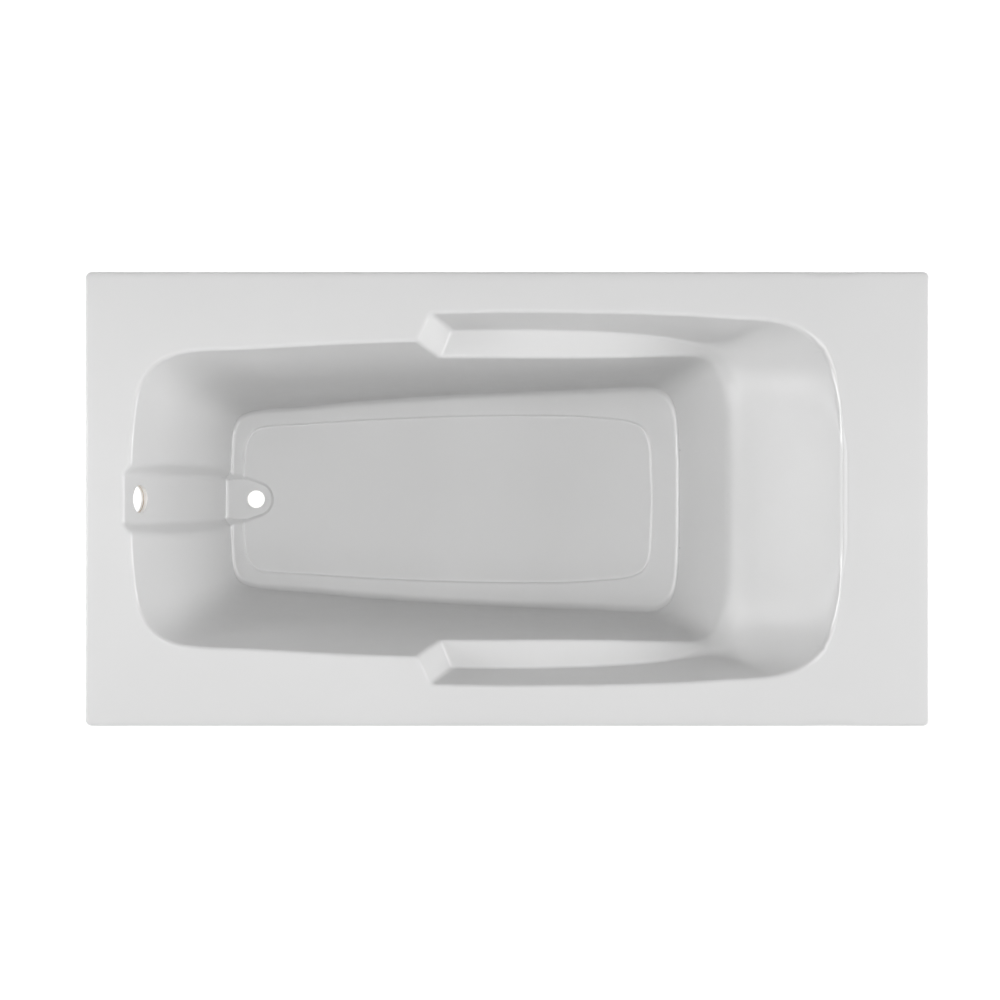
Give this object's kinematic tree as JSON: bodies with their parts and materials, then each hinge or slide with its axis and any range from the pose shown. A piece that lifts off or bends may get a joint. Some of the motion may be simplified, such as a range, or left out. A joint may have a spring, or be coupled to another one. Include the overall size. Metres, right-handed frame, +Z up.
{
  "type": "drop-in soaking bathtub",
  "caption": "Rectangular drop-in bath with a flat rim, moulded white basin with armrest ledges and sloped backrest, and a braced underside on levelling feet.",
  "frame": {"origin": "centre of the footprint, on the floor under the foot soles", "axes": "+Z up, +X along the bath from the drain end to the head end, +Y across"},
  "size_m": [1.524, 0.82, 0.508],
  "materials": {
    "white_acrylic": "gloss white",
    "fibreglass": "rough sprayed glass fibre",
    "plywood": "raw plywood",
    "chipboard": "raw chipboard",
    "pine": "sawn softwood",
    "galvanised_steel": "galvanised",
    "zinc_steel": "zinc plated",
    "black_nylon": "matt moulded",
    "rubber_sole": "matt rubber"
  },
  "bodies": {
    "tub": {"acrylic_shell": "white_acrylic", "fibreglass_backing": "fibreglass", "overflow_backing_pad": "plywood", "floor_board": "chipboard", "rim_batten_front": "pine", "rim_batten_rear": "pine", "rim_batten_drain_end": "pine", "rim_batten_head_end": "pine", "rail_drain_end": "galvanised_steel", "rail_head_end": "galvanised_steel", "rail_screws": "zinc_steel", "weld_nuts": "zinc_steel", "lock_nuts": "zinc_steel"},
    "foot_drain_front": {"foot_stud_drain_front": "zinc_steel", "foot_pad_drain_front": "black_nylon", "foot_sole_drain_front": "rubber_sole"},
    "foot_drain_rear": {"foot_stud_drain_rear": "zinc_steel", "foot_pad_drain_rear": "black_nylon", "foot_sole_drain_rear": "rubber_sole"},
    "foot_head_front": {"foot_stud_head_front": "zinc_steel", "foot_pad_head_front": "black_nylon", "foot_sole_head_front": "rubber_sole"},
    "foot_head_rear": {"foot_stud_head_rear": "zinc_steel", "foot_pad_head_rear": "black_nylon", "foot_sole_head_rear": "rubber_sole"}
  },
  "joints": [
    {"name": "level_drain_front", "type": "slide", "parent": "tub", "child": "foot_drain_front", "axis": [0, 0, 1], "range_m": [-0.02, 0.012]},
    {"name": "level_drain_rear", "type": "slide", "parent": "tub", "child": "foot_drain_rear", "axis": [0, 0, 1], "range_m": [-0.02, 0.012]},
    {"name": "level_head_front", "type": "slide", "parent": "tub", "child": "foot_head_front", "axis": [0, 0, 1], "range_m": [-0.02, 0.012]},
    {"name": "level_head_rear", "type": "slide", "parent": "tub", "child": "foot_head_rear", "axis": [0, 0, 1], "range_m": [-0.02, 0.012]}
  ]
}
